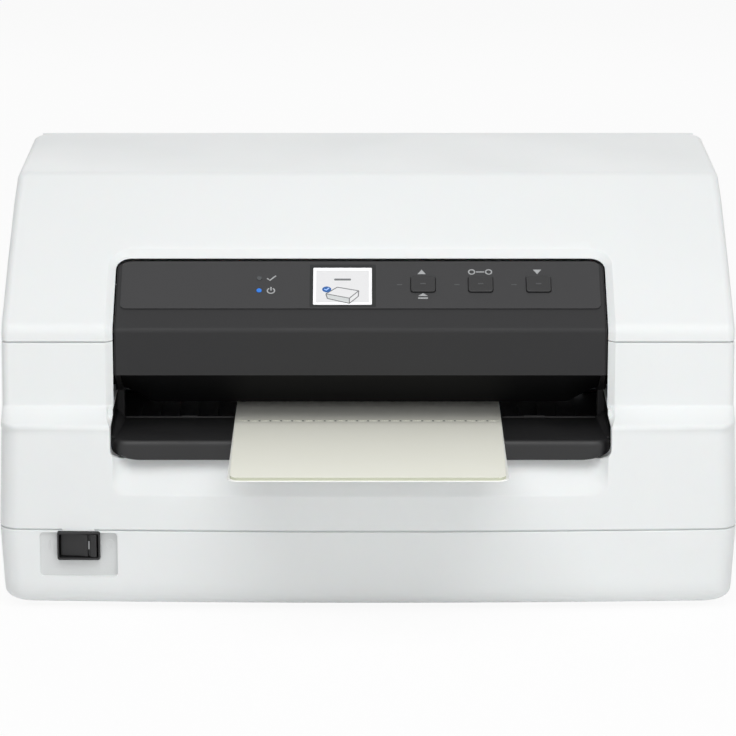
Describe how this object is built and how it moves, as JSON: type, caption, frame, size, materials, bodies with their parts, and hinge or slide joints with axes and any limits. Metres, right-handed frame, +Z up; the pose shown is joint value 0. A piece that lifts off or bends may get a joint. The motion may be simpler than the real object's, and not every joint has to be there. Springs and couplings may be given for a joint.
{
  "type": "dot matrix passbook printer",
  "caption": "Flatbed dot matrix printer with a hinged cover, sloped control panel, front passbook tray, and a straight paper path past rollers, platen, print head and ribbon.",
  "frame": {"origin": "middle of the footprint (printer and the passbook standing out in front), on the table", "axes": "+Z up, -Y out of the front, +X to the right as seen from the front"},
  "size_m": [0.3882, 0.3184, 0.2137],
  "materials": {
    "white_abs": "fine moulded grain",
    "black_abs": "moulded grain",
    "dark_grey_abs": "moulded grain",
    "plate_film": "satin printed film",
    "steel_sheet": "zinc plated",
    "ground_steel": "ground",
    "bronze": "sintered",
    "nylon": "moulded",
    "rubber": "matt",
    "belt_rubber": "matt",
    "motor_black": "painted",
    "head_alloy": "cast",
    "circuit_board": "solder mask",
    "screen": "clear over white",
    "lens": "clear tinted",
    "paper": "uncoated paper",
    "ribbon_ink": "inked nylon"
  },
  "bodies": {
    "printer": {"base_case": "white_abs", "middle_case": "white_abs", "rear_cover": "white_abs", "hinge_pins": "ground_steel", "rubber_feet": "rubber", "case_screws": "steel_sheet", "chassis_plate": "steel_sheet", "side_frame_left": "steel_sheet", "side_frame_right": "steel_sheet", "frame_screws": "steel_sheet", "front_tray": "black_abs", "lower_paper_guide": "black_abs", "rear_paper_guide": "steel_sheet", "paper_slot_visor": "black_abs", "platen_rail": "steel_sheet", "platen_springs": "ground_steel", "roller_bushings": "bronze", "feed_motor": "motor_black", "carriage_shaft": "ground_steel", "guide_rail": "steel_sheet", "carriage_motor": "motor_black", "motor_bracket": "steel_sheet", "tensioner_bracket": "steel_sheet", "carriage_belt": "belt_rubber", "ribbon_cartridge": "black_abs", "ribbon": "ribbon_ink", "panel_housing": "dark_grey_abs", "panel_plate": "plate_film", "lcd_display": "screen", "indicator_lenses": "lens", "panel_board": "circuit_board", "power_switch": "black_abs", "power_supply": "circuit_board", "main_board": "circuit_board", "mains_inlet": "black_abs", "rear_ports": "steel_sheet"},
    "top_cover": {"top_cover": "white_abs"},
    "front_feed_roller": {"front_feed_shaft": "ground_steel", "front_feed_tires": "rubber", "front_feed_gear": "nylon"},
    "rear_feed_roller": {"rear_feed_shaft": "ground_steel", "rear_feed_tires": "rubber", "rear_feed_gear": "nylon"},
    "front_pinch": {"front_pinch_rollers": "rubber"},
    "rear_pinch": {"rear_pinch_rollers": "rubber"},
    "idler": {"idler_gear": "nylon"},
    "pinion": {"feed_pinion": "ground_steel"},
    "carriage": {"carriage": "black_abs", "carriage_bushings": "bronze", "print_head": "head_alloy", "ribbon_mask": "steel_sheet"},
    "motor_pulley": {"motor_pulley": "nylon"},
    "idler_pulley": {"idler_pulley": "nylon"},
    "ribbon_knob": {"ribbon_knob": "nylon"},
    "platen": {"platen": "ground_steel"},
    "button_left": {"button_left": "black_abs"},
    "button_middle": {"button_middle": "black_abs"},
    "button_right": {"button_right": "black_abs"},
    "power_rocker": {"power_rocker": "black_abs"},
    "passbook": {"passbook": "paper"}
  },
  "joints": [
    {"name": "cover_hinge", "type": "hinge", "parent": "printer", "child": "top_cover", "pos_m": [0, 0.14525, 0.2095], "axis": [-1, 0, 0], "range_deg": [0, 72]},
    {"name": "passbook_feed", "type": "slide", "parent": "printer", "child": "passbook", "axis": [0, 1, 0], "range_m": [-0.05, 0.07]},
    {"name": "front_feed_turn", "type": "hinge", "parent": "printer", "child": "front_feed_roller", "pos_m": [0, 0.01275, 0.083], "axis": [1, 0, 0], "range_deg": [-460, 460]},
    {"name": "rear_feed_turn", "type": "hinge", "parent": "printer", "child": "rear_feed_roller", "pos_m": [0, 0.06875, 0.083], "axis": [1, 0, 0], "range_deg": [-460, 460]},
    {"name": "front_pinch_turn", "type": "hinge", "parent": "printer", "child": "front_pinch", "pos_m": [0, 0.01275, 0.102], "axis": [1, 0, 0], "range_deg": [-600, 600]},
    {"name": "rear_pinch_turn", "type": "hinge", "parent": "printer", "child": "rear_pinch", "pos_m": [0, 0.06875, 0.102], "axis": [1, 0, 0], "range_deg": [-600, 600]},
    {"name": "idler_turn", "type": "hinge", "parent": "printer", "child": "idler", "pos_m": [-0.181, 0.04075, 0.083], "axis": [1, 0, 0], "range_deg": [-460, 460]},
    {"name": "pinion_turn", "type": "hinge", "parent": "printer", "child": "pinion", "pos_m": [-0.181, 0.04075, 0.062], "axis": [1, 0, 0], "range_deg": [-900, 900]},
    {"name": "carriage_travel", "type": "slide", "parent": "printer", "child": "carriage", "axis": [1, 0, 0], "range_m": [-0.105, 0.105]},
    {"name": "motor_pulley_turn", "type": "hinge", "parent": "printer", "child": "motor_pulley", "pos_m": [-0.152, 0.09075, 0.143], "axis": [0, 0, 1], "range_deg": [-760, 760]},
    {"name": "idler_pulley_turn", "type": "hinge", "parent": "printer", "child": "idler_pulley", "pos_m": [0.152, 0.09075, 0.143], "axis": [0, 0, 1], "range_deg": [-760, 760]},
    {"name": "ribbon_knob_turn", "type": "hinge", "parent": "printer", "child": "ribbon_knob", "pos_m": [-0.144, 0.00075, 0.135], "axis": [0, 0, 1], "continuous": true},
    {"name": "platen_give", "type": "slide", "parent": "printer", "child": "platen", "axis": [0, 0, -1], "range_m": [0, 0.002], "stiffness_N_per_m": 2500, "springref_m": -0.002, "deforming": ["platen_springs"]},
    {"name": "button_left_press", "type": "slide", "parent": "printer", "child": "button_left", "axis": [0, 0.5519, -0.8339], "range_m": [0, 0.0008], "stiffness_N_per_m": 600, "springref_m": -0.0008},
    {"name": "button_middle_press", "type": "slide", "parent": "printer", "child": "button_middle", "axis": [0, 0.5519, -0.8339], "range_m": [0, 0.0008], "stiffness_N_per_m": 600, "springref_m": -0.0008},
    {"name": "button_right_press", "type": "slide", "parent": "printer", "child": "button_right", "axis": [0, 0.5519, -0.8339], "range_m": [0, 0.0008], "stiffness_N_per_m": 600, "springref_m": -0.0008},
    {"name": "power_rocker_tip", "type": "hinge", "parent": "printer", "child": "power_rocker", "pos_m": [-0.152, -0.07845, 0.03565], "axis": [0, 0, 1], "range_deg": [0, 16]}
  ],
  "couplings": [
    {"joint": "front_feed_turn", "follows": "passbook_feed", "rad_per_m": -111.11},
    {"joint": "rear_feed_turn", "follows": "passbook_feed", "rad_per_m": -111.11},
    {"joint": "front_pinch_turn", "follows": "passbook_feed", "rad_per_m": 142.86},
    {"joint": "rear_pinch_turn", "follows": "passbook_feed", "rad_per_m": 142.86},
    {"joint": "idler_turn", "follows": "passbook_feed", "rad_per_m": 111.11},
    {"joint": "pinion_turn", "follows": "passbook_feed", "rad_per_m": -222.22},
    {"joint": "motor_pulley_turn", "follows": "carriage_travel", "rad_per_m": 125},
    {"joint": "idler_pulley_turn", "follows": "carriage_travel", "rad_per_m": 125}
  ]
}
